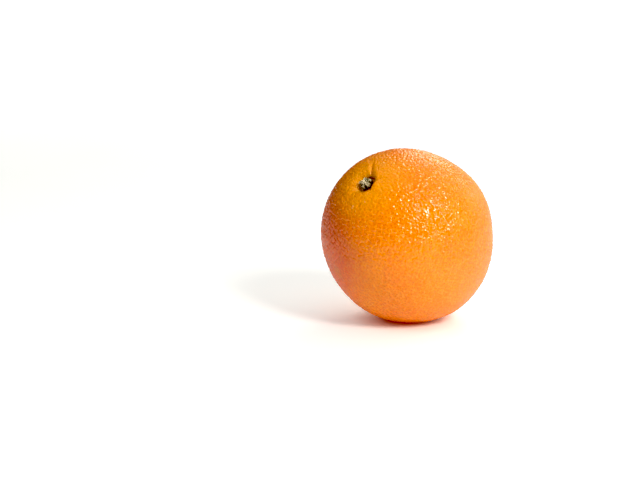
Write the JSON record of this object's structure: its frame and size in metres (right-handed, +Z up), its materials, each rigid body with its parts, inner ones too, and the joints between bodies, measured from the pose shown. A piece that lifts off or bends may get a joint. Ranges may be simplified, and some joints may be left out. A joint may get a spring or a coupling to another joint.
{
  "type": "orange",
  "caption": "Whole navel orange lying on its side, with a pebbled peel, a dried calyx and stem stub in a creased hollow, and a navel opposite.",
  "frame": {"origin": "on the surface that the orange rests on, under the middle of its box", "axes": "+Z up from the flat that the orange rests on; the stem end leans towards -X and -Y, and the navel faces down towards +X and +Y"},
  "size_m": [0.0812, 0.0812, 0.0822],
  "materials": {
    "peel": "waxy, finely pebbled with oil glands",
    "calyx": "dry, shrivelled",
    "stem_stub": "cut and dried"
  },
  "bodies": {
    "root": {"fruit": "peel", "calyx": "calyx", "stem_stub": "stem_stub"}
  },
  "joints": []
}
